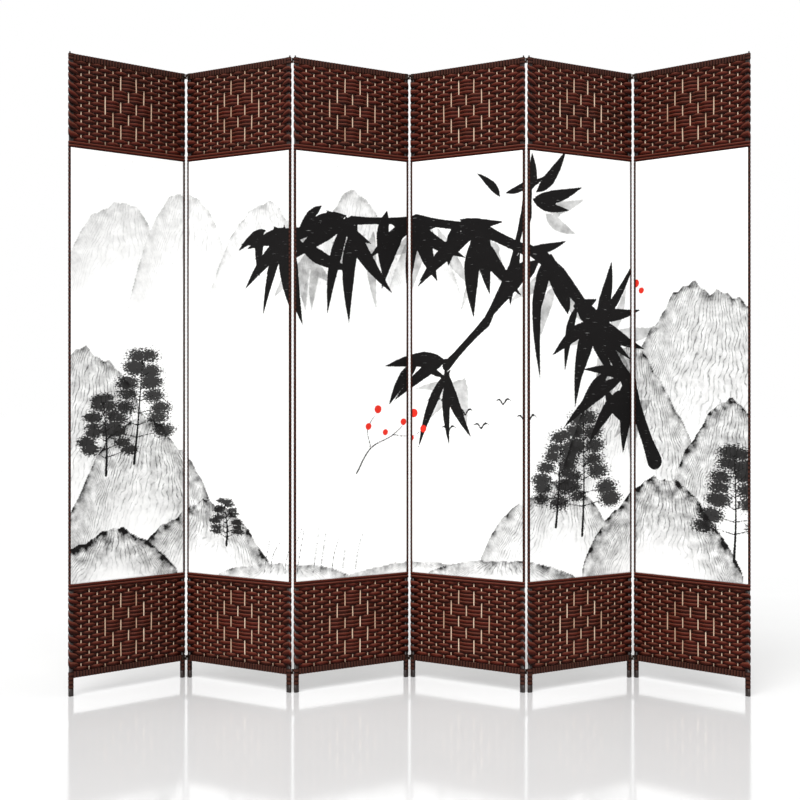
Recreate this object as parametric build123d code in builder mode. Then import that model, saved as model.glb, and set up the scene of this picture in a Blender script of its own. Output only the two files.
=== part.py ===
from build123d import *
import os
from math import cos, radians, sin

# A six-panel folding screen: slim wooden frames with a woven field of paper cord at the top and
# the foot of each panel, and cloth between them. Their hinges alternate front and back, for a zigzag.
# Millimetres, +Z up. The front of the screen faces -Y, and the origin is the middle of the
# footprint on the floor. Each panel is drawn on its own plane: X along the panel, -Y its front.

# Panel
panel_count = 6
panel_width = 400.0
panel_height = 1800.0
frame_thickness = 10.0
stile_width = 14.0
edge_flats = 12
leg_height = 50.0
rail_height = 18.0
weave_height = 228.0
foot_chamfer = 1.5

# How far each panel is turned from the line of the screen as it stands, in degrees
outer_angle = 45.0
second_angle = 35.0
inner_angle = 36.0

# Rails
tenon_height = 10.0
tenon_thickness = 6.0
tenon_length = 8.0
rail_bevel = 1.5
bead_count = 2
bead_depth = 0.8
cloth_ledge = 6.0

# Woven fields
warp_pitch = 26.5
warp_width = 4.5
warp_thickness = 3.0
warp_margin = 20.0
ridge_pitch = 32.7
cord_layer = 1.4
cord_crown = 1.6

# Cloth
cloth_thickness = 0.8
cloth_lap = 9.0

# Pegs on the stiles of the near joints
peg_width = 4.0
peg_height = 5.0
peg_from_edge = 5.0

# Hinges: a leaf let into each stile, with a knuckle and pin on the left one and an eye on the right
stile_gap = 0.5
face_gap = 2.0
knuckle_radius = 2.4
hinge_margin = 2.0
pin_radius = 1.4
pin_clearance = 0.05
leaf_thickness = 1.2
leaf_margin = 1.0
leaf_setback = 3.0

# Worked out from the above
edge_radius = frame_thickness / 2
edge_reach = panel_width / 2 - edge_radius
inner_reach = panel_width / 2 - stile_width
field_width = 2 * inner_reach
half_thickness = frame_thickness / 2

bottom_rail_z = leg_height
lower_weave_z = bottom_rail_z + rail_height
lower_border_z = lower_weave_z + weave_height
cloth_bottom_z = lower_border_z + rail_height
top_rail_z = panel_height - rail_height
upper_weave_z = top_rail_z - weave_height
upper_border_z = upper_weave_z - rail_height
cloth_top_z = upper_border_z

hinge_levels = [z + rail_height / 2 for z in (bottom_rail_z, top_rail_z)]
rail_levels = [bottom_rail_z, lower_border_z, upper_border_z, top_rail_z]

# The pin stands outside the face that it folds on, midway in the gap left when folded shut
pin_x = (panel_width + stile_gap) / 2
pin_y = half_thickness + face_gap / 2
leaf_start = inner_reach + leaf_margin
leaf_end = panel_width / 2 - leaf_setback
leaf_y = half_thickness - leaf_thickness / 2
knuckle_height = rail_height / 2 - hinge_margin

warp_count = int((field_width - 2 * warp_margin) / warp_pitch) + 1
ridge_count = round(weave_height / ridge_pitch)

angles = [outer_angle, -second_angle, inner_angle, -inner_angle, second_angle, -outer_angle]


def heading(angle):
    """Level direction at an angle from +X."""
    return Vector(cos(radians(angle)), sin(radians(angle)), 0)


def pin_face(joint):
    """Side of the panels that a joint's pins stand on: the front where the screen stands back."""
    return -1 if joint % 2 else 1


def stand_panels():
    """Planes of the panels, each hung on the pins of the one before, about the middle of them all."""
    centres = [Vector(0, 0, 0)]
    for joint, (angle, next_angle) in enumerate(zip(angles, angles[1:]), start=1):
        offset = pin_face(joint) * pin_y
        pin = centres[-1] + heading(angle) * pin_x + heading(angle + 90) * offset
        centres.append(pin + heading(next_angle) * pin_x - heading(next_angle + 90) * offset)
    ends = [c + heading(a) * side * edge_reach for c, a in zip(centres, angles) for side in (-1, 1)]
    middle_x = (min(e.X for e in ends) + max(e.X for e in ends)) / 2
    middle_y = (min(e.Y for e in ends) + max(e.Y for e in ends)) / 2
    middle = Vector(middle_x, middle_y, 0)
    return [Plane(c - middle, x_dir=heading(a), z_dir=(0, 0, 1)) for c, a in zip(centres, angles)]


def end_plane(panel, x, side=1):
    """Upright plane across the panel at x, facing its end: the sketch has (+-y, z)."""
    origin = panel.from_local_coords((x, 0, 0))
    return Plane(origin, x_dir=panel.y_dir * side, z_dir=panel.x_dir * side)


def make_stile(panel, side, hinge_face, has_peg):
    """Post with its outer edge planed round, mortised for the rails and let in for its hinges."""
    with BuildPart() as stile:
        with BuildSketch(panel):
            with Locations((side * edge_reach, 0)):
                RegularPolygon(edge_radius, edge_flats, major_radius=False, rotation=180 / edge_flats)
            with Locations((side * (edge_reach + inner_reach) / 2, 0)):
                Rectangle(edge_reach - inner_reach, frame_thickness)
        extrude(amount=panel_height)
        chamfer(stile.faces().sort_by(Axis.Z)[0].edges(), foot_chamfer)
        with BuildSketch(end_plane(panel, side * inner_reach, side)):
            for z in rail_levels:
                with Locations((0, z + rail_height / 2)):
                    Rectangle(tenon_thickness, tenon_height)
        extrude(amount=tenon_length, mode=Mode.SUBTRACT)
        if hinge_face:
            length = panel_width / 2 - leaf_start
            for z in hinge_levels:
                with BuildSketch(panel.offset(z - knuckle_height)):
                    with Locations((side * (leaf_start + length / 2), hinge_face * leaf_y)):
                        Rectangle(length, leaf_thickness)
                extrude(amount=2 * knuckle_height, mode=Mode.SUBTRACT)
        if has_peg:
            with BuildSketch(panel.offset(panel_height)):
                with Locations((side * (panel_width / 2 - peg_from_edge), 0)):
                    Rectangle(peg_width, peg_width)
            extrude(amount=peg_height)
    return stile.part


def make_rails(panel):
    """Bottom, top and two border rails, each with a stub tenon in both stiles."""
    with BuildPart() as rails:
        with BuildSketch(end_plane(panel, -inner_reach)) as section:
            for z in (bottom_rail_z, top_rail_z):
                with Locations((0, z + rail_height / 2)):
                    Rectangle(frame_thickness, rail_height)
            chamfer(section.vertices(), rail_bevel)
        extrude(amount=field_width)
        for z, ledge in ((lower_border_z, 1), (upper_border_z, -1)):
            with BuildSketch(end_plane(panel, -inner_reach)):
                with BuildLine():
                    Polyline(border_outline(z, ledge), close=True)
                make_face()
            extrude(amount=field_width)
        for side in (-1, 1):
            with BuildSketch(end_plane(panel, side * inner_reach, side)):
                for z in rail_levels:
                    with Locations((0, z + rail_height / 2)):
                        Rectangle(tenon_thickness, tenon_height)
            extrude(amount=tenon_length)
    return rails.part


def border_outline(z, ledge):
    """Section of a border rail: beads front and back, and a flat ledge that the cloth is laid on."""
    bead = rail_height / bead_count
    front = []
    for index in range(bead_count):
        front.append((-half_thickness, z + index * bead))
        front.append((-half_thickness - bead_depth, z + (index + 0.5) * bead))
    front.append((-half_thickness, z + rail_height))
    ledge_end = (-half_thickness, z + rail_height + cloth_ledge)
    if ledge < 0:
        ledge_end = (-half_thickness, z - cloth_ledge)
        front.insert(0, ledge_end)
    else:
        front.append(ledge_end)
    back = [(-y, level) for y, level in reversed(front)]
    return front + back


def make_warp_sticks(panel):
    """Flat upright sticks that the cord is woven round, from rail to rail in both fields."""
    span = (warp_count - 1) * warp_pitch
    with BuildPart() as sticks:
        for z in (lower_weave_z, upper_weave_z):
            with BuildSketch(panel.offset(z)):
                for index in range(warp_count):
                    with Locations((index * warp_pitch - span / 2, 0)):
                        Rectangle(warp_width, warp_thickness)
            extrude(amount=weave_height)
    return sticks.part


def make_weave(panel, z):
    """The two faces of a woven field against the warp sticks, one ridge for each band of cord."""
    pitch = weave_height / ridge_count
    inner = warp_thickness / 2
    with BuildPart() as weave:
        with BuildSketch(end_plane(panel, -inner_reach)):
            with BuildLine():
                outline = [(-inner, z)]
                for ridge in range(ridge_count):
                    outline.append((-inner - cord_layer, z + ridge * pitch))
                    outline.append((-inner - cord_layer - cord_crown, z + (ridge + 0.5) * pitch))
                outline.append((-inner - cord_layer, z + weave_height))
                outline.append((-inner, z + weave_height))
                Polyline(outline, close=True)
            make_face()
        extrude(amount=field_width)
        mirror(about=Plane(panel.origin, x_dir=panel.x_dir, z_dir=panel.y_dir))
    return weave.part


def make_cloth(panel, side):
    """Cloth on one face of the panel, laid on the flats of the stiles and the rail ledges."""
    with BuildPart() as cloth:
        with BuildSketch(panel.offset(cloth_bottom_z)):
            with Locations((0, side * (half_thickness + cloth_thickness / 2))):
                Rectangle(field_width + 2 * cloth_lap, cloth_thickness)
        extrude(amount=cloth_top_z - cloth_bottom_z)
    return cloth.part


def make_hinge_leaves(panel, hinge_faces):
    """Steel hinge leaves of one panel: knuckles with fast pins at its right edge, eyes at its left."""
    length = leaf_end - leaf_start
    with BuildPart() as leaves:
        for side, face in hinge_faces.items():
            for z in hinge_levels:
                with BuildSketch(panel.offset(z - knuckle_height)):
                    with Locations((side * (leaf_start + length / 2), face * leaf_y)):
                        Rectangle(length, leaf_thickness)
                extrude(amount=2 * knuckle_height)
                with BuildSketch(panel.offset(z - knuckle_height if side > 0 else z)):
                    with Locations((side * (leaf_end + pin_x) / 2, face * leaf_y)):
                        Rectangle(pin_x - leaf_end, leaf_thickness)
                    with Locations((side * pin_x, face * pin_y)):
                        Circle(knuckle_radius)
                        if side < 0:
                            Circle(pin_radius + pin_clearance, mode=Mode.SUBTRACT)
                extrude(amount=knuckle_height)
                if side > 0:
                    with BuildSketch(panel.offset(z)):
                        with Locations((side * pin_x, face * pin_y)):
                            Circle(pin_radius)
                    extrude(amount=knuckle_height)
    return leaves.part


def save(piece, label):
    """Write one labelled piece to its own file."""
    piece.label = label
    export_step(piece, f"parts/{label}.step")


os.makedirs("parts", exist_ok=True)

for number, panel in enumerate(stand_panels(), start=1):
    name = f"panel_{number}"
    edge_joints = {-1: number - 1, 1: number}
    hinge_faces = {side: pin_face(j) for side, j in edge_joints.items() if 0 < j < panel_count}
    # A panel that runs away from the front stands nearest at its left edge
    near_side = -1 if number % 2 else 1
    save(make_stile(panel, -1, hinge_faces.get(-1), near_side == -1), f"{name}_left_stile")
    save(make_stile(panel, 1, hinge_faces.get(1), near_side == 1), f"{name}_right_stile")
    save(make_rails(panel), f"{name}_rails")
    save(make_warp_sticks(panel), f"{name}_warp_sticks")
    save(make_weave(panel, upper_weave_z), f"{name}_upper_weave")
    save(make_weave(panel, lower_weave_z), f"{name}_lower_weave")
    save(make_cloth(panel, -1), f"{name}_cloth")
    save(make_cloth(panel, 1), f"{name}_backing_cloth")
    save(make_hinge_leaves(panel, hinge_faces), f"{name}_hinge_leaves")
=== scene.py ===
from math import pi, radians

import bpy
import numpy as np
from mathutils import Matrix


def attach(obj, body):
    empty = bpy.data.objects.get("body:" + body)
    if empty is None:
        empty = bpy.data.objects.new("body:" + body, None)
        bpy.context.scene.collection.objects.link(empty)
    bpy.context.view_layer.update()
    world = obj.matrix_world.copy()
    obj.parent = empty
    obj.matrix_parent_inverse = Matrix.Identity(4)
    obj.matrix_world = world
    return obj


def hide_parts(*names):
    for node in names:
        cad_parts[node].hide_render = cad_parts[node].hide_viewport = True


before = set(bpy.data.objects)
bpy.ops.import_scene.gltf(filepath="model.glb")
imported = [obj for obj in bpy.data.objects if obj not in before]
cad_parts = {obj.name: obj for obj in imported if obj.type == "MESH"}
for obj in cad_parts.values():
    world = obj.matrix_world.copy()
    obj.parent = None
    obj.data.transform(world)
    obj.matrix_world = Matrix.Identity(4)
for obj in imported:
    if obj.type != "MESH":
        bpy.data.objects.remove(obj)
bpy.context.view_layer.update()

# A six-panel folding screen as in the photograph: dark paper cord woven round pale sticks, cord
# wrapped on slim frames, and a printed cloth in each panel. Metres, in the CAD frame.
# Lengths named _mm are real millimetres, which the patterns are scaled from.

MM = 0.001
PANELS = 6


# Reading the frame

def node_points(node):
    """All vertices of a CAD node."""
    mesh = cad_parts[node].data
    points = np.empty(len(mesh.vertices) * 3)
    mesh.vertices.foreach_get("co", points)
    return points.reshape(-1, 3)


def find_place(number):
    """Middle and direction of a panel in plan, from the ends of its two cloths."""
    names = (f"panel_{number}_cloth", f"panel_{number}_backing_cloth")
    points = np.unique(np.concatenate([node_points(n) for n in names])[:, :2].round(6), axis=0)
    order = points[points[:, 0].argsort()]
    left, right = order[: len(order) // 2].mean(0), order[len(order) // 2 :].mean(0)
    along = (right - left) / np.linalg.norm(right - left)
    return (left + right) / 2, along


def to_world(points, place):
    """Points drawn on a panel, x along it and -y its front, moved to where the panel stands."""
    middle, along = place
    across = np.array([-along[1], along[0]])
    flat = points[..., :1] * along + points[..., 1:2] * across + middle
    return np.concatenate([flat, points[..., 2:3]], -1)


def to_panel(points, place):
    """The reverse of to_world."""
    middle, along = place
    offset = points[:, :2] - middle
    across = np.array([-along[1], along[0]])
    return np.stack([offset @ along, offset @ across, points[:, 2]], -1)


places = {k: find_place(k) for k in range(1, PANELS + 1)}


def node_box(node):
    """Lowest and highest corner of one of panel 2's pieces, in the panel's own axes."""
    points = to_panel(node_points(f"panel_2_{node}"), places[2])
    return points.min(0), points.max(0)


stile_low, stile_high = node_box("left_stile")
half_width = -stile_low[0]
inner = -stile_high[0]
half_depth = stile_high[1]
edge_centre = half_width - half_depth
cloth_low, cloth_high = node_box("cloth")
rails_low, rails_high = node_box("rails")
hinge_low, hinge_high = node_box("hinge_leaves")
weave_spans = [(box[0][2], box[1][2]) for box in (node_box("lower_weave"), node_box("upper_weave"))]
border_spans = [(weave_spans[0][1], cloth_low[2]), (cloth_high[2], weave_spans[1][0])]
rail_spans = [(rails_low[2], weave_spans[0][0]), (weave_spans[1][1], rails_high[2])]
warp_edges = np.unique(to_panel(node_points("panel_2_warp_sticks"), places[2])[:, 0].round(5))
warp_x = warp_edges.reshape(-1, 2).mean(1)
warp_half = node_box("warp_sticks")[1][1]


# Building meshes

def make_piece(name, points, loops, sizes, smooth, uv_mm, values, material, body, replaced=()):
    """One mesh object from its vertices, the corners of its faces in turn and the faces' sizes."""
    mesh = bpy.data.meshes.new(name)
    mesh.vertices.add(len(points))
    mesh.vertices.foreach_set("co", points.astype(np.float32).ravel())
    mesh.loops.add(len(loops))
    mesh.loops.foreach_set("vertex_index", loops.astype(np.int32))
    mesh.polygons.add(len(sizes))
    starts = np.concatenate([[0], np.cumsum(sizes)[:-1]])
    mesh.polygons.foreach_set("loop_start", starts.astype(np.int32))
    mesh.update(calc_edges=True)
    mesh.polygons.foreach_set("use_smooth", smooth)
    layer = mesh.uv_layers.new(name="mm")
    layer.data.foreach_set("uv", uv_mm.astype(np.float32).ravel())
    for label, data in (values or {}).items():
        kind = "FLOAT_COLOR" if data.ndim == 2 else "FLOAT"
        attribute = mesh.attributes.new(label, kind, "POINT")
        field = "color" if data.ndim == 2 else "value"
        attribute.data.foreach_set(field, data.astype(np.float32).ravel())
    mesh.materials.append(material)
    piece = bpy.data.objects.new(name, mesh)
    bpy.context.scene.collection.objects.link(piece)
    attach(piece, body)
    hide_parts(*replaced)
    return piece


def surface(name, points, number, material, close=(False, True), values=None, replaced=()):
    """Skin over grids of points, in panel axes: [piece, station, place round the section].

    Quads join each point to the next one round and the next one along. The section runs
    anticlockwise as seen from the far end. Open ends get a flat face. UV is mm along and round.
    """
    pieces, stations, sides = points.shape[:3]
    rows = np.arange(stations if close[0] else stations - 1)
    p, i, j = np.meshgrid(np.arange(pieces), rows, np.arange(sides if close[1] else sides - 1), indexing="ij")

    def corner(station, side):
        return (p * stations + station % stations) * sides + side % sides

    quads = np.stack([corner(i, j), corner(i, j + 1), corner(i + 1, j + 1), corner(i + 1, j)], -1)
    ring = np.concatenate([points[0, 0], points[0, 0, :1]])
    round_mm = np.concatenate([[0], np.cumsum(np.linalg.norm(np.diff(ring, axis=0), axis=1))]) / MM
    line = points.mean(2)
    line = np.concatenate([line, line[:, :1]], 1)
    steps = np.linalg.norm(np.diff(line, axis=1), axis=2)
    along_mm = np.concatenate([np.zeros((pieces, 1)), np.cumsum(steps, 1)], 1) / MM
    u0, u1, v0, v1 = along_mm[p, i], along_mm[p, i + 1], round_mm[j], round_mm[j + 1]
    uv = np.stack([u0, v0, u0, v1, u1, v1, u1, v0], -1).reshape(-1, 2)
    loops, sizes = [quads.ravel()], [np.full(quads.size // 4, 4)]
    if not close[0]:
        first = (np.arange(pieces) * stations * sides)[:, None] + np.arange(sides)
        last = first + (stations - 1) * sides
        ends = np.concatenate([first[:, ::-1], last])
        loops.append(ends.ravel())
        sizes.append(np.full(len(ends), sides))
        uv = np.concatenate([uv, np.zeros((ends.size, 2))])
    sizes = np.concatenate(sizes)
    world = to_world(points.reshape(-1, 3), places[number])
    shaped = {k: np.broadcast_to(v, points.shape[:3]).ravel() for k, v in (values or {}).items()}
    return make_piece(
        name, world, np.concatenate(loops), sizes, sizes == 4, uv, shaped, material,
        f"panel_{number}", replaced,
    )


def smooth_step(t):
    """0 below 0, 1 above 1, and an even curve between them."""
    t = np.clip(t, 0, 1)
    return t * t * (3 - 2 * t)


# Colours and nodes

def srgb(code):
    """Linear colour of an sRGB hex code."""
    value = np.array([int(code[i : i + 2], 16) for i in (0, 2, 4)]) / 255
    linear = np.where(value <= 0.04045, value / 12.92, ((value + 0.055) / 1.055) ** 2.4)
    return (*linear.tolist(), 1.0)


def add(tree, kind, inputs=None, **settings):
    """Adds a node with its settings. Each input takes a number or colour, or a link from an output."""
    node = tree.nodes.new(kind)
    for key, value in settings.items():
        setattr(node, key, value)
    for key, value in (inputs or {}).items():
        if isinstance(value, bpy.types.NodeSocket):
            tree.links.new(value, node.inputs[key])
        else:
            node.inputs[key].default_value = value
    return node


def new_material(name):
    """An empty material and its node tree."""
    material = bpy.data.materials.new(name)
    material.use_nodes = True
    material.node_tree.nodes.clear()
    return material, material.node_tree


def maths(tree, operation, *values, clamp=False):
    """Output of one math node."""
    node = add(tree, "ShaderNodeMath", dict(enumerate(values)), operation=operation, use_clamp=clamp)
    return node.outputs[0]


def mixed(tree, factor, a, b, blend="MIX"):
    """Output of one colour mix."""
    node = add(tree, "ShaderNodeMix", data_type="RGBA", blend_type=blend)
    for index, value in ((0, factor), (6, a), (7, b)):
        if isinstance(value, bpy.types.NodeSocket):
            tree.links.new(value, node.inputs[index])
        else:
            node.inputs[index].default_value = value
    return node.outputs[2]


def noise(tree, vector, scale, detail=3.0, roughness=0.5):
    """Output of one noise texture, from 0 to 1."""
    inputs = {"Vector": vector, "Scale": scale, "Detail": detail, "Roughness": roughness}
    return add(tree, "ShaderNodeTexNoise", inputs).outputs["Fac"]


def mapped(tree, vector, scale):
    """A vector scaled along each of its axes."""
    return add(tree, "ShaderNodeMapping", {"Vector": vector, "Scale": scale}).outputs[0]


def attribute(tree, name):
    """Node that reads one of the piece's own attributes."""
    return add(tree, "ShaderNodeAttribute", attribute_name=name, attribute_type="GEOMETRY")


def ranged(tree, value, low, high, out_low=0.0, out_high=1.0):
    """A value carried from one range to another, and held at its ends."""
    inputs = {0: value, 1: low, 2: high, 3: out_low, 4: out_high}
    return add(tree, "ShaderNodeMapRange", inputs).outputs[0]


def finish_material(tree, colour, roughness, height=None, height_mm=0.1, **more):
    """A Principled surface, with a bump of the given depth where there is one."""
    inputs = {"Base Color": colour, "Roughness": roughness, **more}
    if height is not None:
        bump = {"Strength": 1.0, "Distance": height_mm * MM, "Height": height}
        inputs["Normal"] = add(tree, "ShaderNodeBump", bump).outputs[0]
    shader = add(tree, "ShaderNodeBsdfPrincipled", inputs)
    add(tree, "ShaderNodeOutputMaterial", {"Surface": shader.outputs[0]})


def paper_cord(name, deep, body_colour, red, crest, strand_mm=2.6):
    """Twisted paper cord: strands run slantwise round it, with a painted highlight where its crest attribute
    is high (along its upper side) and painted shade where it is low and in the grooves between strands.
    """
    material, tree = new_material(name)
    uv = add(tree, "ShaderNodeUVMap", uv_map="mm").outputs[0]
    parts = add(tree, "ShaderNodeSeparateXYZ", {0: uv})
    along, around = parts.outputs[0], parts.outputs[1]
    # Strands of the twist, each one a shallow ridge
    slant = maths(tree, "ADD", along, maths(tree, "MULTIPLY", around, 0.55))
    wobble = maths(tree, "MULTIPLY", noise(tree, mapped(tree, uv, (0.05, 0.2, 1.0)), 1.0), 2.0)
    phase = maths(tree, "MULTIPLY", maths(tree, "ADD", slant, wobble), 2 * pi / strand_mm)
    strands = maths(tree, "MULTIPLY_ADD", maths(tree, "SINE", phase), 0.5, 0.5)
    # Creases of the paper, fine and running with the strands
    creases = noise(tree, mapped(tree, uv, (1.6, 0.9, 1.0)), 1.0, 6.0, 0.65)
    # Dye that took unevenly, from one cord to the next and along each of them
    tone = attribute(tree, "tone").outputs["Fac"]
    patches = noise(tree, mapped(tree, uv, (0.012, 0.05, 1.0)), 1.0, 2.0)
    redness = ranged(tree, maths(tree, "ADD", tone, patches), 0.6, 1.4)
    colour = mixed(tree, redness, srgb(body_colour), srgb(red))
    # Painted light: the crest colour is a painted highlight where the crest attribute is high, and the deep
    # colour a painted shade where it is low
    top = attribute(tree, "crest").outputs["Fac"]
    painted_highlight_mask = maths(tree, "MULTIPLY", ranged(tree, top, 0.2, 0.7), ranged(tree, creases, 0.3, 0.6, 0.3, 1.0))
    colour = mixed(tree, painted_highlight_mask, colour, srgb(crest))
    colour = mixed(tree, ranged(tree, top, 0.15, -0.75), colour, srgb(deep))
    # Painted shade in the grooves between the strands of the twist
    painted_groove_shade = maths(tree, "MULTIPLY", maths(tree, "SUBTRACT", 1.0, strands), 0.5)
    colour = mixed(tree, painted_groove_shade, colour, srgb(deep))
    relief = maths(tree, "MULTIPLY_ADD", creases, 0.5, strands)
    rough = ranged(tree, creases, 0.3, 0.7, 0.45, 0.65)
    finish_material(tree, colour, rough, relief, 0.25, **{"Specular IOR Level": 0.09})
    return material


def stained_wood(name, dark, light, scale_mm=9.0):
    """Wood grain that runs up the piece, with the pores as fine darker dashes."""
    material, tree = new_material(name)
    place = add(tree, "ShaderNodeTexCoord").outputs["Object"]
    stretched = mapped(tree, place, (1000 / scale_mm, 1000 / scale_mm, 25 / scale_mm))
    grain = noise(tree, stretched, 1.0, 5.0, 0.6)
    pores = noise(tree, mapped(tree, place, (2200.0, 2200.0, 90.0)), 1.0, 2.0)
    colour = mixed(tree, ranged(tree, grain, 0.35, 0.65), srgb(dark), srgb(light))
    colour = mixed(tree, ranged(tree, pores, 0.6, 0.72, 0.0, 0.5), colour, srgb(dark))
    relief = maths(tree, "MULTIPLY_ADD", pores, -0.6, grain)
    finish_material(tree, colour, ranged(tree, grain, 0.3, 0.7, 0.5, 0.38), relief, 0.12)
    return material


def browned_steel(name):
    """Steel browned by heat: rolled along its length, and worn bright in places."""
    material, tree = new_material(name)
    place = add(tree, "ShaderNodeTexCoord").outputs["Object"]
    blotches = noise(tree, place, 140.0, 4.0, 0.6)
    lines = noise(tree, mapped(tree, place, (4000.0, 4000.0, 160.0)), 1.0, 3.0)
    colour = mixed(tree, ranged(tree, blotches, 0.35, 0.7), srgb("2b211d"), srgb("5a4a42"))
    rough = ranged(tree, maths(tree, "ADD", blotches, lines), 0.7, 1.3, 0.3, 0.55)
    finish_material(tree, colour, rough, lines, 0.03, Metallic=1.0)
    return material


# Stiles

def stile_sections(radius, side, z, flat_face=0, flat_at=0.0, flat_spans=()):
    """Outlines of a stile at heights z, each flat towards the panel and round at its edge.

    Where flat_spans say, the face that the hinge leaf lies on is cut back to flat_at.
    """
    turn = np.linspace(-pi / 2, pi / 2, 11)
    across = np.concatenate([[0, 0], np.cos(turn), [0, 0]])
    deep = np.concatenate([[-1, -1], np.sin(turn), [1, 1]])
    inner_mid = (inner + edge_centre) / 2
    base = np.concatenate([[inner, inner_mid], np.full(11, edge_centre), [inner_mid, inner]])
    x = base + radius[:, None] * across
    y = radius[:, None] * deep
    for low, high in flat_spans:
        cut = ((z > low) & (z < high))[:, None] & (y * flat_face > flat_at)
        y = np.where(cut, flat_at * flat_face, y)
    points = np.stack([x * side, y, np.broadcast_to(z[:, None], x.shape)], -1)
    return points if side > 0 else points[:, ::-1]


def ribs(low, high, pitch, neck, crest):
    """Stations along a wrapped length, and the radius at each: round ribs with narrow necks."""
    count = max(1, round((high - low) / pitch))
    step = (high - low) / count
    share = np.array([0.0, 0.08, 0.27, 0.5, 0.73, 0.92])
    z = (low + step * (np.arange(count)[:, None] + share)).ravel()
    radius = neck + (crest - neck) * np.tile(np.sin(pi * share) ** 0.45, count)
    return np.append(z, high), np.append(radius, neck)


CORE = half_depth - 1.5 * MM
CREST = half_depth - 0.05 * MM
NECK = half_depth - 1.0 * MM
STILE_RIB = 11.9 * MM
LEG_RIB = 10.7 * MM
FOOT = 21 * MM
LEAF_HEIGHT = 14 * MM
LEAF_THICKNESS = 1.2 * MM
leaf_spans = [(z, z + LEAF_HEIGHT) for z in (hinge_low[2], hinge_high[2] - LEAF_HEIGHT)]


def pin_face(joint):
    """Side that a joint's pins stand on: the front where the screen stands back."""
    return -1 if joint % 2 else 1


def make_stiles(number):
    """Core, cord wraps and peg of both stiles of a panel."""
    near = -1 if number % 2 else 1
    for side, name in ((-1, "left"), (1, "right")):
        joint = number if side > 0 else number - 1
        face = pin_face(joint) if 1 <= joint < PANELS else 0
        z = np.array([0, 1.2, FOOT / MM - 0.5, FOOT / MM, rails_high[2] / MM]) * MM
        radius = np.array([half_depth - 1.6 * MM, half_depth - 0.4 * MM, half_depth - 0.4 * MM, CORE, CORE])
        core = stile_sections(radius, side, z)
        surface(f"panel_{number}_{name}_stile_core", core[None], number, core_wood,
                replaced=[f"panel_{number}_{name}_stile"])
        spans = [(FOOT, weave_spans[0][0], LEG_RIB), (cloth_low[2], cloth_high[2], STILE_RIB),
                 (weave_spans[1][1], rails_high[2], LEG_RIB)]
        for index, (low, high, pitch) in enumerate(spans):
            z, radius = ribs(low, high, pitch, NECK, CREST)
            sections = stile_sections(radius, side, z, face, half_depth - LEAF_THICKNESS, leaf_spans)
            # Painted light: each rib's crest takes a painted highlight and the necks between ribs painted
            # shade
            crest = ((radius - NECK) / (CREST - NECK))[None, :, None] * 1.7 - 0.9
            tone = random.random(1)[0] * 0.5 + 0.1 * np.sin(z / pitch * 2.4)[None, :, None]
            surface(f"panel_{number}_{name}_stile_wrap_{index + 1}", sections[None], number, wrap_cord,
                    values={"crest": crest, "tone": tone})
    turn = np.arange(8) * pi / 4
    z = np.array([0.0, 4.0, 5.0]) * MM + rails_high[2]
    width = np.array([2.0, 2.0, 1.4])[:, None] * MM
    peg = np.stack([near * edge_centre + width * np.cos(turn), width * np.sin(turn),
                    np.broadcast_to(z[:, None], (3, 8))], -1)
    surface(f"panel_{number}_peg", peg[None], number, core_wood)


# Rails

def rounded_outline(half_y, half_z, corner):
    """Rectangle with round corners in y and z, anticlockwise seen along x, five points a corner."""
    turn = (np.arange(4)[:, None] * pi / 2 + np.linspace(0, pi / 2, 5)).ravel()
    sign_y = np.repeat([1, -1, -1, 1], 5)
    sign_z = np.repeat([1, 1, -1, -1], 5)
    return np.stack([sign_y * (half_y - corner) + corner * np.cos(turn),
                     sign_z * (half_z - corner) + corner * np.sin(turn)], -1)


def make_rails(number):
    """Wrapped bottom and top rails, and border rails with two straight cords round the whole panel."""
    for index, (low, high) in enumerate(rail_spans):
        x, rise = ribs(-inner, inner, 9.8 * MM, 0.9 * MM, 0.0)
        half_z = (high - low) / 2
        full = rounded_outline(half_depth - 0.05 * MM, half_z, 2.6 * MM)
        shrunk = full * (1 - 0.9 * MM / np.array([half_depth, half_z]))
        share = (rise / (0.9 * MM))[:, None, None]
        outline = full * (1 - share) + shrunk * share
        points = np.concatenate([np.broadcast_to(x[:, None, None], outline.shape[:2] + (1,)), outline], -1)
        points[..., 2] += (low + high) / 2
        # Painted light: each rib's crest takes a painted highlight and the necks between ribs painted shade
        crest = (1 - share[None, ..., 0]) * 1.7 - 0.9
        tone = 0.35 + 0.2 * np.sin(x * 90)[None, :, None]
        surface(f"panel_{number}_rail_wrap_{index + 1}", points[None], number, wrap_cord,
                values={"crest": crest, "tone": tone}, replaced=[f"panel_{number}_rails"])
    for index, (low, high) in enumerate(border_spans):
        outline = rounded_outline(CORE, (high - low) / 2, 1 * MM)
        x = np.array([-inner, inner])
        points = np.concatenate([np.broadcast_to(x[:, None, None], (2, 20, 1)),
                                 np.broadcast_to(outline, (2, 20, 2))], -1)
        points[..., 2] += (low + high) / 2
        surface(f"panel_{number}_border_core_{index + 1}", points[None], number, core_wood)
        make_border_cords(number, index + 1, low, high)


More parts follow.
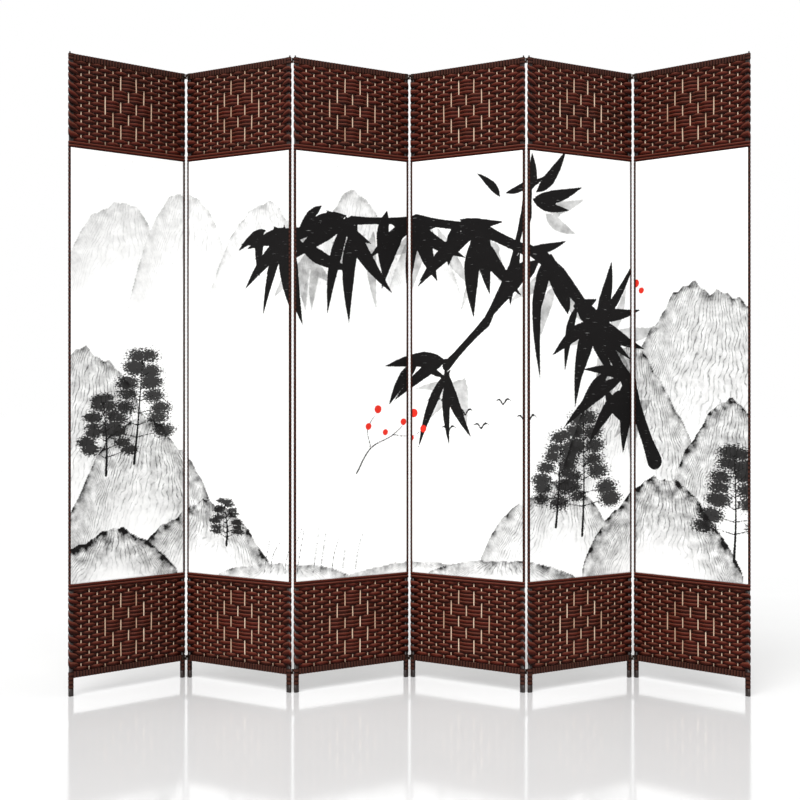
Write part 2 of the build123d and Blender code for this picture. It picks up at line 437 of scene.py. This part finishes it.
def make_border_cords(number, index, low, high):
    """Two cords round the panel, one above the other, drawn in tight where they turn at its edges."""
    thick, tall = 1.15 * MM, (high - low) / 4
    reach = half_depth + 0.8 * MM - thick
    tight = half_depth + 0.12 * MM - thick
    straight = np.linspace(-edge_centre, edge_centre, 40)
    drawn = reach + (tight - reach) * smooth_step((abs(straight) - inner) / (edge_centre - inner))
    turn = np.linspace(-pi / 2, pi / 2, 9)[1:-1]
    round_edge = edge_centre + tight * np.cos(turn)
    x = np.concatenate([straight, round_edge, straight[::-1], -round_edge])
    y = np.concatenate([-drawn, tight * np.sin(turn), drawn, -tight * np.sin(turn)])
    path = np.stack([x, y], -1)
    ahead = np.roll(path, -1, 0) - np.roll(path, 1, 0)
    ahead /= np.linalg.norm(ahead, axis=1, keepdims=True)
    side = np.stack([-ahead[:, 1], ahead[:, 0]], -1)
    turn = np.arange(10) * pi / 5
    flat = path[:, None] + side[:, None] * (thick * np.cos(turn))[None, :, None]
    z = np.broadcast_to(tall * np.sin(turn), flat.shape[:2])
    cord = np.concatenate([flat, z[..., None]], -1)
    points = np.stack([cord + [0, 0, low + tall], cord + [0, 0, low + 3 * tall]])
    # Painted light: a painted highlight along each cord's upper side and painted shade under it
    values = {"crest": np.sin(turn)[None, None], "tone": np.array([0.55, 0.75])[:, None, None]}
    surface(f"panel_{number}_border_cords_{index}", points, number, weft_cord,
            close=(True, True), values=values)


# Woven fields

ROWS = 21
WEFT_HALF = 1.7 * MM
WRAP_HALF = 0.85 * MM
STICK_HALF = 0.34 * (warp_edges[1] - warp_edges[0])


def weave_signs():
    """Side that each row of cord passes each stick and stile on: -1 in front, 1 behind.

    Plain weave, with a diamond of three-row blocks in the middle that leaves long bare sticks.
    """
    rows = np.arange(ROWS)[:, None] - ROWS // 2
    columns = np.arange(-1, len(warp_x) + 1)[None] - len(warp_x) // 2
    block = (abs(rows) + 1) // 3
    plain = np.where((rows + columns) % 2, 1, -1)
    figure = np.where((columns + block) % 2, 1, -1)
    return np.where((block <= 2) & (abs(columns) <= 3 - block), figure, plain)


def weave_path(low, high, near):
    """Line of the one cord that fills a field, row by row, turning round a stile after each row.

    It swings from face to face between the sticks, and climbs by about a row at the near edge.
    """
    signs = weave_signs()
    pitch = (high - low) / ROWS
    stops = np.concatenate([[-inner - 2 * MM], warp_x, [inner + 2 * MM]])
    over_stile = [CORE + WRAP_HALF]
    reach = np.concatenate([over_stile, np.full(len(warp_x), warp_half + WEFT_HALF), over_stile])
    x = np.linspace(-edge_centre, edge_centre, 105)
    gap = np.clip(np.searchsorted(stops, x) - 1, 0, len(stops) - 2)
    share = smooth_step((x - stops[gap]) / (stops[gap + 1] - stops[gap]))
    depth = signs * reach
    y = depth[:, gap] * (1 - share) + depth[:, gap + 1] * share
    rows_in = np.minimum(np.arange(ROWS), ROWS - 1 - np.arange(ROWS))[:, None]
    climb = 0.9 * pitch * np.minimum(1, rows_in / 4)
    lift = climb * np.clip(1 - (edge_centre - near * x) / (31 * MM), 0, 1)
    z = low + (np.arange(ROWS)[:, None] + 0.5) * pitch + lift
    by_edge = smooth_step((abs(x) - warp_x[-1]) / (10 * MM))
    tall = np.gradient(z, axis=0) * (0.5 + 0.13 * abs(y) / abs(y).max() + 0.09 * by_edge)
    x = np.broadcast_to(x, y.shape)
    rows = np.stack([x, y, z, tall], -1)
    rows[1::2] = rows[1::2, ::-1]
    ends_at, starts_at = rows[:-1, -1], rows[1:, 0]
    share = np.linspace(0, 1, 9)[None, 1:-1]
    angle = np.sign(ends_at[:, 1:2]) * (pi / 2 - pi * share)
    side = np.sign(ends_at[:, :1])
    radius = CORE + WRAP_HALF
    turns = np.stack([side * (edge_centre + radius * np.cos(angle)), radius * np.sin(angle),
                      ends_at[:, 2:3] * (1 - share) + starts_at[:, 2:3] * share,
                      ends_at[:, 3:] * (1 - share) + starts_at[:, 3:] * share], -1)
    parts = np.concatenate([rows[:-1], turns], 1).reshape(-1, 4)
    row_number = np.repeat(np.arange(ROWS - 1), rows.shape[1] + turns.shape[1])
    return np.concatenate([parts, rows[-1]]), np.append(row_number, np.full(len(x[0]), ROWS - 1))


def make_weaves(number):
    """The cord of each woven field, and its sticks."""
    near = -1 if number % 2 else 1
    turn = np.arange(8) * pi / 4
    for (low, high), name in zip(weave_spans, ("lower", "upper")):
        path, row = weave_path(low, high, near)
        ahead = np.gradient(path[:, :2], axis=0)
        ahead /= np.linalg.norm(ahead, axis=1, keepdims=True)
        side = np.stack([-ahead[:, 1], ahead[:, 0]], -1)
        press_from = warp_x[-1] + 12 * MM
        pressed = smooth_step((abs(path[:, 0]) - press_from) / (inner - press_from))
        thick = WEFT_HALF + (WRAP_HALF - WEFT_HALF) * pressed
        flat = path[:, None, :2] + side[:, None] * (thick[:, None] * np.cos(turn))[..., None]
        z = path[:, 2:3] + path[:, 3:] * np.sin(turn)
        points = np.concatenate([flat, z[..., None]], -1)[None]
        tone = random.random(ROWS)[row][None, :, None]
        # Painted light: a painted highlight along each cord's upper side and painted shade under it
        surface(f"panel_{number}_{name}_weft_cord", points, number, weft_cord,
                values={"crest": np.sin(turn)[None, None], "tone": tone},
                replaced=[f"panel_{number}_{name}_weave"])
        z = np.linspace(low, high, 9)
        bend = 0.25 * MM * random.standard_normal((len(warp_x), 9, 1))
        shape = np.stack([STICK_HALF * np.sign(np.cos(turn + 0.4)) * abs(np.cos(turn + 0.4)) ** 0.5,
                          warp_half * np.sign(np.sin(turn + 0.4)) * abs(np.sin(turn + 0.4)) ** 0.5], -1)
        sticks = np.empty((len(warp_x), 9, 8, 3))
        sticks[..., 0] = warp_x[:, None, None] + shape[:, 0] + bend
        sticks[..., 1] = shape[:, 1]
        sticks[..., 2] = z[:, None]
        surface(f"panel_{number}_{name}_sticks", sticks, number, pale_wood,
                replaced=[f"panel_{number}_warp_sticks"])


# Ink design: a bamboo bough, hills, trees and berries, drawn by formula on the unfolded screen.
# s runs along all six cloths and v up them, both in millimetres. Fields hold what the print needs:
# distance to the edge of black, grey and red strokes, grey wash, foliage, and brush lines of hills.

COLUMNS, LINES = 118, 368
CLOTH_FACE = half_depth + 0.62 * MM
CLOTH_BACK = half_depth + 0.12 * MM
# The cloths stop this much short of their lap at the far joint, and lie on all of it at the near one
BARE = 5 * MM
spans = {k: (cloth_low[0] + (BARE if k % 2 == 0 else 0), cloth_high[0] - (BARE if k % 2 else 0))
         for k in range(1, PANELS + 1)}
cloth_x = np.stack([np.linspace(*spans[k], COLUMNS) for k in spans])
cloth_z = np.linspace(cloth_low[2], cloth_high[2], LINES)
S = ((cloth_x + half_width) / MM + np.arange(PANELS)[:, None] * 2 * half_width / MM).ravel()
V = (cloth_z - cloth_z[0]) / MM
FAR_FROM_INK = 40.0
art = {name: np.full((LINES, len(S)), FAR_FROM_INK) for name in ("ink", "red", "shade")}
art |= {name: np.zeros((LINES, len(S))) for name in ("wash", "leaf", "fan", "lines")}
random = np.random.default_rng(7)


def stroke(field, points, widths, steps=12):
    """A brush stroke: lowers the field to the distance from a smooth line of changing width."""
    points = np.array(points, float)
    p = np.concatenate([[2 * points[0] - points[1]], points, [2 * points[-1] - points[-2]]])
    t = np.linspace(0, 1, steps, endpoint=False)[None, :, None]
    a, b, c, d = (p[i : len(p) - 3 + i, None] for i in range(4))
    bend, twist = 2 * a - 5 * b + 4 * c - d, 3 * b - a - 3 * c + d
    curve = 0.5 * (2 * b + (c - a) * t + bend * t**2 + twist * t**3)
    curve = np.concatenate([curve.reshape(-1, 2), points[-1:]])
    along = np.linspace(0, 1, len(curve))
    radius = np.interp(along, np.linspace(0, 1, len(widths)), np.array(widths) / 2)
    low, high = curve.min(0) - radius.max() - 12, curve.max(0) + radius.max() + 12
    left, right = np.searchsorted(S, (low[0], high[0]))
    bottom, top = np.searchsorted(V, (low[1], high[1]))
    if left >= right or bottom >= top:
        return
    place = np.stack(np.meshgrid(S[left:right], V[bottom:top]), -1)
    start, step = curve[:-1, None, None], np.diff(curve, axis=0)[:, None, None]
    share = np.clip(((place - start) * step).sum(-1) / (step * step).sum(-1), 0, 1)
    gap = np.linalg.norm(place - start - share[..., None] * step, axis=-1)
    edge = gap - radius[:-1, None, None] - share * np.diff(radius)[:, None, None]
    window = field[bottom:top, left:right]
    np.minimum(window, edge.min(0), out=window)


def leaf(root, angle, length, width, field="ink"):
    """A bamboo leaf in one press of the brush: narrow stalk, broad belly and long point."""
    turn = np.radians(angle + np.array([0, 4, 10, 14]))
    reach = length * np.array([0, 0.3, 0.65, 1.0])
    points = np.array(root) + reach[:, None] * np.stack([np.cos(turn), np.sin(turn)], -1)
    stroke(art[field], points, [3, width * 0.75, width, width * 0.8, width * 0.45, 1.0])


def leaf_spray(root, angle, count, length, width, field="ink"):
    """Leaves fanned out from one point, the outer ones shorter, each a little off its even place."""
    for turn in np.linspace(-1, 1, count):
        size = length * (1 - 0.25 * abs(turn)) * random.uniform(0.6, 1.15)
        shift = random.uniform(-26, 26, 2)
        way = angle + turn * 50 + random.uniform(-13, 13)
        leaf(np.array(root) + shift, way, size, width * random.uniform(0.7, 1.2), field)


def culm(points, widths):
    """A bamboo stem in sections, each swelling at its joints, with a thin gap between them."""
    points = np.array(points, float)
    for index in range(len(points) - 1):
        a, b = points[index], points[index + 1]
        step = (b - a) / np.linalg.norm(b - a)
        w = widths[index]
        side = np.array([-step[1], step[0]]) * w * 0.05
        swell = w * np.array([1.15, 0.86, 0.84, 0.88, 1.15])
        stroke(art["ink"], [a + step * 5, (a + b) / 2 + side, b - step * 5], swell)


def mound(centre, top, width, rugged, dark, lines, base=0.0):
    """A hill that hides what is behind it: dark along its crest, and fading to mist below."""
    u = (S - centre) / width
    bumps = sum(np.sin(S / w + centre * k) / k for k, w in ((1, 61.0), (2, 27.0), (3, 13.0), (5, 6.0)))
    swell = np.clip(1 - abs(u) ** 1.8, 0, 1)
    crest = base * swell**0.25 + top * swell + rugged * bumps * np.clip(1 - abs(u), 0, 1) ** 0.5
    depth = crest[None] - V[:, None]
    inside = (depth > 0) & (abs(u) < 1)[None]
    fade = 1 - smooth_step((depth - 0.3 * top) / (0.9 * top))
    fade = fade * smooth_step((V[:, None] - base + 0.5 * top + 40) / (0.5 * top))
    tone = dark * (0.9 * np.exp(-depth / 18) + 0.5) * fade
    art["wash"][...] = np.where(inside, tone, art["wash"])
    art["lines"][...] = np.where(inside, lines * fade, art["lines"])
    fan = (S - centre)[None] / (0.55 + np.clip(depth, 0, None) / top) + 0.25 * depth
    art["fan"][...] = np.where(inside, fan, art["fan"])


def foliage(centre, size, dense):
    """A soft clump that the print breaks up into dabs of leaves."""
    reach = np.hypot((S[None] - centre[0]) / size[0], (V[:, None] - centre[1]) / size[1])
    art["leaf"][...] = np.maximum(art["leaf"], dense * np.clip(1.25 - reach, 0, 1))


def pine(root, tall, spread):
    """A tree with a leaning trunk, side boughs and clumps of leaves."""
    s, v = root
    lean = random.uniform(-0.12, 0.12) * tall
    stroke(art["ink"], [(s, v), (s + lean * 0.3 + 5, v + tall * 0.4), (s + lean, v + tall)], [9, 6, 3])
    for level in np.linspace(0.3, 1.0, 7):
        for way in (-1, 1):
            reach = spread * (1.15 - level) * random.uniform(0.7, 1.2) * way
            middle = (s + lean * level + reach, v + tall * level + random.uniform(0, 14))
            stroke(art["ink"], [(s + lean * level, v + tall * level - 14), middle], [4, 1.6])
            foliage(middle, (spread * 0.5, tall * 0.1), random.uniform(0.8, 1.05))


def draw_print():
    """The whole design, back to front."""
    far_hills = ((160, 190, 280), (400, 240, 260), (700, 170, 300), (1010, 210, 250), (1250, 120, 200))
    for centre, top, width in far_hills:
        mound(centre, top, width, 12, 0.34, 0.3, base=900)
    for centre, top, width, rugged, dark, lines, base in (
        (2260, 430, 420, 22, 0.6, 0.9, 420),
        (1980, 330, 300, 18, 0.7, 1.0, 330),
        (2330, 330, 240, 18, 0.8, 1.0, 190),
        (60, 420, 300, 18, 0.6, 0.9, 250),
        (250, 300, 300, 18, 0.75, 1.0, 160),
        (1700, 170, 250, 12, 0.6, 0.9, 110),
        (2090, 220, 290, 14, 0.9, 1.0, 60),
        (470, 150, 270, 12, 0.8, 1.0, 60),
        (130, 120, 240, 10, 0.9, 1.0, 20),
        (760, 40, 230, 4, 0.5, 0.6, 10),
        (1230, 30, 260, 3, 0.4, 0.4, 4),
        (1520, 50, 250, 5, 0.6, 0.8, 8),
    ):
        mound(centre, top, width, rugged, dark, lines, base)
    bough = [
        (2080, 330), (1985, 560), (1840, 760), (1660, 915),
        (1450, 1010), (1220, 1050), (990, 1035), (800, 985),
    ]
    culm(bough, [46, 44, 40, 36, 30, 24, 18])
    culm([(1330, 610), (1475, 740), (1560, 890), (1600, 1040), (1610, 1180)], [26, 24, 21, 18])
    for root, angle, count, size, width in (
        ((1985, 560), 215, 5, 260, 46), ((1840, 760), 250, 5, 280, 50), ((1840, 760), 10, 4, 230, 42),
        ((1660, 915), 262, 5, 270, 48), ((1450, 1010), 240, 6, 290, 50), ((1220, 1050), 255, 5, 300, 50),
        ((990, 1035), 235, 5, 290, 46), ((800, 985), 215, 6, 280, 44), ((1330, 610), 225, 5, 240, 42),
        ((1610, 1090), 20, 4, 210, 36), ((800, 985), 268, 3, 240, 40),
    ):
        leaf_spray(root, angle, count, size * 1.1, width)
        leaf_spray((root[0] - 80, root[1] + 10), angle + 40, 2, size * 0.9, width * 0.8)
        leaf_spray((root[0] + 60, root[1] - 50), angle - 20, 3, size * 0.9, width * 0.9, "shade")
    for s, v, tall, spread in ((215, 330, 300, 105), (120, 300, 210, 80), (1700, 150, 250, 90),
                               (1800, 120, 330, 110), (2350, 60, 300, 110), (560, 90, 120, 60)):
        pine((s, v), tall, spread)
    for s in np.linspace(700, 1000, 9):
        foot = (s + random.uniform(-12, 12), 22)
        tip = (foot[0] + random.uniform(5, 45), random.uniform(90, 150))
        stroke(art["ink"], [foot, (foot[0] + 8, 70), tip], [2.6, 2.2, 1.2])
    stroke(art["ink"], [(1010, 300), (1060, 372), (1140, 410), (1215, 470)], [5, 4, 3, 2])
    stroke(art["ink"], [(1060, 372), (1050, 430), (1085, 480)], [4, 3, 2])
    stroke(art["ink"], [(1140, 410), (1205, 405), (1250, 425)], [3.4, 2.6, 1.8])
    for s, v, size in (
        (1086, 486, 24), (1052, 436, 20), (1216, 474, 26), (1178, 448, 20), (1250, 428, 22),
        (1206, 400, 18), (1112, 418, 18), (2010, 860, 24), (2030, 838, 18),
    ):
        stroke(art["red"], [(s, v), (s + 2, v + 1)], [size, size * 0.9])
    for s, v in ((1340, 420), (1400, 470), (1455, 430), (1530, 500), (1290, 500), (1600, 455)):
        stroke(art["ink"], [(s - 26, v + 12), (s - 12, v + 15), (s, v)], [1.5, 6, 4])
        stroke(art["ink"], [(s, v), (s + 14, v + 17), (s + 30, v + 10)], [4, 6, 1.5])


LINE_SPACING_MM = 15


def printed_cloth():
    """White cloth printed in ink: ragged black strokes, dabbed leaves, brushed hills and red marks."""
    material, tree = new_material("printed_polyester_canvas")
    uv = add(tree, "ShaderNodeUVMap", uv_map="mm").outputs[0]
    plan = attribute(tree, "strokes")
    split = add(tree, "ShaderNodeSeparateColor", {0: plan.outputs["Color"]}).outputs
    pale_ink = attribute(tree, "hills")
    hills = add(tree, "ShaderNodeSeparateColor", {0: pale_ink.outputs["Color"]}).outputs
    # Ragged edge of the strokes, and hairs of the brush that left the cloth dry
    ragged = noise(tree, mapped(tree, uv, (0.22, 0.22, 1)), 1.0, 4.0)
    frayed = maths(tree, "MULTIPLY_ADD", ragged, 5.0, split[0])
    ink = maths(tree, "SUBTRACT", 1.0, ranged(tree, frayed, 1.9, 2.9))
    dry = noise(tree, mapped(tree, uv, (0.03, 0.5, 1)), 1.0, 3.0)
    ink = maths(tree, "MULTIPLY", ink, maths(tree, "SUBTRACT", 1.0, ranged(tree, dry, 0.68, 0.76, 0.0, 0.5)))
    # Leaves of the trees, dabbed on with the tip of the brush
    dabs = noise(tree, mapped(tree, uv, (0.13, 0.2, 1)), 1.0, 4.0, 0.62)
    dabbed = ranged(tree, maths(tree, "MULTIPLY_ADD", split[2], 0.5, dabs), 0.68, 0.78, 0.0, 0.97)
    # Brush lines that run down the hills, and washes that settled unevenly
    warp = maths(tree, "MULTIPLY", noise(tree, mapped(tree, uv, (0.014, 0.014, 1)), 1.0, 3.0), 60.0)
    phase = maths(tree, "MULTIPLY", maths(tree, "ADD", hills[0], warp), pi / LINE_SPACING_MM)
    thin = ranged(tree, maths(tree, "ABSOLUTE", maths(tree, "SINE", phase)), 0.0, 0.6, 1.0, 0.0)
    broken = ranged(tree, noise(tree, mapped(tree, uv, (0.07, 0.03, 1)), 1.0, 5.0, 0.65), 0.4, 0.56)
    lines = maths(tree, "MULTIPLY", maths(tree, "MULTIPLY", thin, broken), hills[1])
    pooled = noise(tree, mapped(tree, uv, (0.03, 0.03, 1)), 1.0, 6.0, 0.6)
    wash = maths(tree, "MULTIPLY", split[1], ranged(tree, pooled, 0.35, 0.65, 0.2, 1.5), clamp=True)
    feathered = noise(tree, mapped(tree, uv, (0.1, 0.1, 1)), 1.0, 4.0)
    shade = maths(tree, "MULTIPLY_ADD", feathered, 8.0, pale_ink.outputs["Alpha"])
    thinned = ranged(tree, pooled, 0.35, 0.65, 0.3, 0.6)
    shade = maths(tree, "MULTIPLY", ranged(tree, shade, 3.0, 6.0, 1.0, 0.0), thinned)
    light = maths(tree, "MULTIPLY", maths(tree, "SUBTRACT", 1.0, wash), maths(tree, "SUBTRACT", 1.0, lines))
    light = maths(tree, "MULTIPLY", light, maths(tree, "SUBTRACT", 1.0, shade))
    light = maths(tree, "MULTIPLY", light, maths(tree, "SUBTRACT", 1.0, dabbed))
    light = maths(tree, "MULTIPLY", light, maths(tree, "SUBTRACT", 1.0, ink), clamp=True)
    colour = mixed(tree, light, srgb("060404"), srgb("fbfbfa"))
    uneven = noise(tree, mapped(tree, uv, (0.3, 0.3, 1)), 1.0)
    spot = maths(tree, "MULTIPLY_ADD", uneven, 3.0, plan.outputs["Alpha"])
    spot = ranged(tree, spot, 1.0, 2.0, 1.0, 0.0)
    colour = mixed(tree, spot, colour, srgb("d92b1c"))
    finish_material(tree, colour, 0.82, plain_weave(tree, uv, 0.45), 0.05, **{"Specular IOR Level": 0.2})
    return material


def plain_weave(tree, uv, pitch_mm):
    """Height of a plain weave of threads, with slubs where a thread is thicker."""
    parts = add(tree, "ShaderNodeSeparateXYZ", {0: uv}).outputs
    across, up = (maths(tree, "SINE", maths(tree, "MULTIPLY", parts[i], 2 * pi / pitch_mm)) for i in (0, 1))
    slubs = noise(tree, mapped(tree, uv, (0.04, 1.4, 1)), 1.0, 3.0)
    return maths(tree, "MULTIPLY_ADD", maths(tree, "MULTIPLY", across, up), 0.5, slubs)


def backing_material():
    """Plain undyed lining, a little creamier than the print and slightly uneven in tone."""
    material, tree = new_material("undyed_lining_cloth")
    uv = add(tree, "ShaderNodeUVMap", uv_map="mm").outputs[0]
    patches = noise(tree, mapped(tree, uv, (0.01, 0.004, 1)), 1.0, 4.0)
    colour = mixed(tree, patches, srgb("f0eee6"), srgb("e4e0d4"))
    finish_material(tree, colour, 0.85, plain_weave(tree, uv, 0.6), 0.07, **{"Specular IOR Level": 0.2})
    return material


def make_cloth(number, side, material, node, name, columns, lines, plan=None):
    """A sheet stretched on one face of a panel: a grid outside, and a plain face behind it."""
    across = np.linspace(*spans[number][::-side], columns)
    x, z = np.meshgrid(across, np.linspace(cloth_low[2], cloth_high[2], lines))
    slack = np.cos(x / cloth_high[0] * pi / 2) * (0.1 + 0.05 * np.sin(z * 9 + number)) * MM
    y = side * (CLOTH_FACE + slack)
    index = np.arange(x.size).reshape(x.shape)
    rim = np.concatenate([index[0], index[1:, -1], index[-1, -2::-1], index[-2:0:-1, 0]])
    points = np.stack([x, y, z], -1).reshape(-1, 3)
    behind = points[rim]
    behind[:, 1] = side * CLOTH_BACK
    hidden = np.arange(len(rim)) + x.size
    quads = np.stack([index[:-1, :-1], index[:-1, 1:], index[1:, 1:], index[1:, :-1]], -1).reshape(-1, 4)
    hem = np.stack([rim, hidden, np.roll(hidden, -1), np.roll(rim, -1)], -1)
    loops = np.concatenate([quads.ravel(), hem.ravel(), hidden[::-1]])
    sizes = np.concatenate([np.full(len(quads) + len(hem), 4), [len(rim)]])
    all_points = np.concatenate([points, behind])
    uv = all_points[loops][:, [0, 2]] / MM + [2 * half_width / MM * number, 0]
    values = {k: np.concatenate([v, v[rim]]) for k, v in (plan or {}).items()}
    smooth = np.arange(len(sizes)) < len(quads)
    piece = make_piece(name, to_world(all_points, places[number]), loops, sizes, smooth, uv, values, material,
                       f"panel_{number}", [node])


def print_plan(number):
    """The fields of the design over one panel's cloth, two sets of four to a point."""
    columns = slice((number - 1) * COLUMNS, number * COLUMNS)
    part = {k: v[:, columns].ravel() for k, v in art.items()}
    strokes = np.stack([part["ink"], part["wash"], part["leaf"], part["red"]], -1)
    hills = np.stack([part["fan"], part["lines"], np.zeros(LINES * COLUMNS), part["shade"]], -1)
    return {"strokes": strokes, "hills": hills}


# Putting the screen together

# The first colour of each cord is its painted shade and the last its painted highlight
weft_cord = paper_cord("woven_paper_cord", "140200", "3b1309", "561a0f", "7a4536")
wrap_cord = paper_cord("wrapped_paper_cord", "0a0200", "260d07", "34110a", "553228", strand_mm=1.8)
core_wood = stained_wood("dark_stained_pine", "0e0402", "1f0d07")
pale_wood = stained_wood("split_bamboo", "b08e74", "e2cab2")
hinge_steel = browned_steel("browned_steel")
cloth_print = printed_cloth()
lining = backing_material()
draw_print()
for k in range(1, PANELS + 1):
    make_stiles(k)
    make_rails(k)
    make_weaves(k)
    make_cloth(k, -1, cloth_print, f"panel_{k}_cloth", f"panel_{k}_printed_cloth",
               COLUMNS, LINES, print_plan(k))
    make_cloth(k, 1, lining, f"panel_{k}_backing_cloth", f"panel_{k}_lining", 14, 41)
    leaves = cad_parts[f"panel_{k}_hinge_leaves"]
    leaves.data.materials.clear()
    leaves.data.materials.append(hinge_steel)


# Floor, light and camera

def make_stage():
    """A pale polished floor that runs out of sight, under a white surround and one soft sun lamp."""
    mesh = bpy.data.meshes.new("floor")
    mesh.from_pydata([(-40, -40, 0), (40, -40, 0), (40, 40, 0), (-40, 40, 0)], [], [(0, 1, 2, 3)])
    floor = bpy.data.objects.new("floor", mesh)
    bpy.context.scene.collection.objects.link(floor)
    material, tree = new_material("polished_white_floor")
    place = add(tree, "ShaderNodeTexCoord").outputs["Object"]
    haze = noise(tree, place, 1.5, 4.0)
    colour = mixed(tree, haze, srgb("dedede"), srgb("e4e4e4"))
    rough = ranged(tree, haze, 0.3, 0.7, 0.07, 0.11)
    finish_material(tree, colour, rough, noise(tree, place, 30.0), 0.02, IOR=1.6)
    mesh.materials.append(material)
    world = bpy.data.worlds.new("white_surround")
    bpy.context.scene.world = world
    world.use_nodes = True
    tree = world.node_tree
    tree.nodes.clear()
    ray = add(tree, "ShaderNodeLightPath").outputs
    seen = maths(tree, "MAXIMUM", ray["Is Camera Ray"], ray["Is Glossy Ray"])
    strength = ranged(tree, seen, 0, 1, 0.64, 1.0)
    background = add(tree, "ShaderNodeBackground", {"Color": (1, 1, 1, 1), "Strength": strength})
    add(tree, "ShaderNodeOutputWorld", {"Surface": background.outputs[0]})
    sun = bpy.data.lights.new("soft_key", "SUN")
    sun.energy, sun.angle = 2.9, 0.8
    holder = bpy.data.objects.new("soft_key", sun)
    bpy.context.scene.collection.objects.link(holder)
    holder.rotation_euler = (radians(38), 0, radians(-14))


make_stage()
lens = bpy.data.cameras.new("camera")
lens.sensor_width, lens.lens = 36.0, 67.02
lens.shift_x, lens.shift_y = -0.01179, -0.01566
camera = bpy.data.objects.new("camera", lens)
camera.location = (0, -4.3075, 0.8642)
camera.rotation_euler = (pi / 2, 0, 0)
bpy.context.scene.collection.objects.link(camera)
bpy.context.scene.camera = camera
bpy.context.scene.view_settings.view_transform = "Standard"
